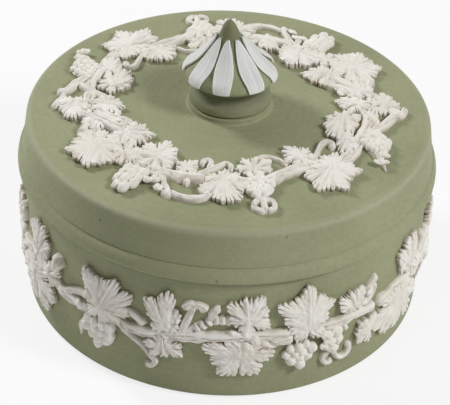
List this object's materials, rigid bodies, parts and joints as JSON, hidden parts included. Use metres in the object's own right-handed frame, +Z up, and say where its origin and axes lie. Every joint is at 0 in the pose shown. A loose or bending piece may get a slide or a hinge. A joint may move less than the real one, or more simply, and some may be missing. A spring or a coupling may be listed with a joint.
{
  "type": "lidded box",
  "caption": "Round stoneware box with a lift-off domed lid, a petalled knob and white vine-leaf relief on the lid and wall.",
  "frame": {"origin": "middle of the foot, on the surface that the box stands on", "axes": "+Z up along the axis of the bowl, lid and knob; -Y towards the viewer of the picture"},
  "size_m": [0.1278, 0.1254, 0.0891],
  "materials": {
    "green_stoneware": "unglazed matte sage-green stoneware",
    "relief_white": "unglazed matte ivory-white clay relief",
    "petal_white": "unglazed matte cool white clay straps"
  },
  "bodies": {
    "bowl_body": {"bowl": "green_stoneware", "frieze_1_vine": "relief_white", "frieze_1_leaf_1": "relief_white", "frieze_1_leaf_2": "relief_white", "frieze_1_leaf_3": "relief_white", "frieze_1_leaf_4": "relief_white", "frieze_1_leaf_5": "relief_white", "frieze_1_grapes_1": "relief_white", "frieze_1_grapes_2": "relief_white", "frieze_2_vine": "relief_white", "frieze_2_leaf_1": "relief_white", "frieze_2_leaf_2": "relief_white", "frieze_2_leaf_3": "relief_white", "frieze_2_leaf_4": "relief_white", "frieze_2_leaf_5": "relief_white", "frieze_2_grapes_1": "relief_white", "frieze_2_grapes_2": "relief_white", "frieze_3_vine": "relief_white", "frieze_3_leaf_1": "relief_white", "frieze_3_leaf_2": "relief_white", "frieze_3_leaf_3": "relief_white", "frieze_3_leaf_4": "relief_white", "frieze_3_leaf_5": "relief_white", "frieze_3_grapes_1": "relief_white", "frieze_3_grapes_2": "relief_white"},
    "lid_body": {"lid": "green_stoneware", "knob": "green_stoneware", "knob_petal_1": "petal_white", "knob_petal_2": "petal_white", "knob_petal_3": "petal_white", "knob_petal_4": "petal_white", "knob_petal_5": "petal_white", "knob_petal_6": "petal_white", "knob_petal_7": "petal_white", "knob_petal_8": "petal_white", "wreath_1_vine": "relief_white", "wreath_1_leaf_1": "relief_white", "wreath_1_leaf_2": "relief_white", "wreath_1_leaf_3": "relief_white", "wreath_1_leaf_4": "relief_white", "wreath_1_leaf_5": "relief_white", "wreath_1_leaf_6": "relief_white", "wreath_1_leaf_7": "relief_white", "wreath_1_grapes_1": "relief_white", "wreath_1_grapes_2": "relief_white", "wreath_1_grapes_3": "relief_white", "wreath_2_vine": "relief_white", "wreath_2_leaf_1": "relief_white", "wreath_2_leaf_2": "relief_white", "wreath_2_leaf_3": "relief_white", "wreath_2_leaf_4": "relief_white", "wreath_2_leaf_5": "relief_white", "wreath_2_leaf_6": "relief_white", "wreath_2_leaf_7": "relief_white", "wreath_2_grapes_1": "relief_white", "wreath_2_grapes_2": "relief_white", "wreath_2_grapes_3": "relief_white"}
  },
  "joints": [
    {"name": "lid_lift", "type": "slide", "parent": "bowl_body", "child": "lid_body", "axis": [0, 0, 1], "range_m": [0, 0.06]}
  ]
}
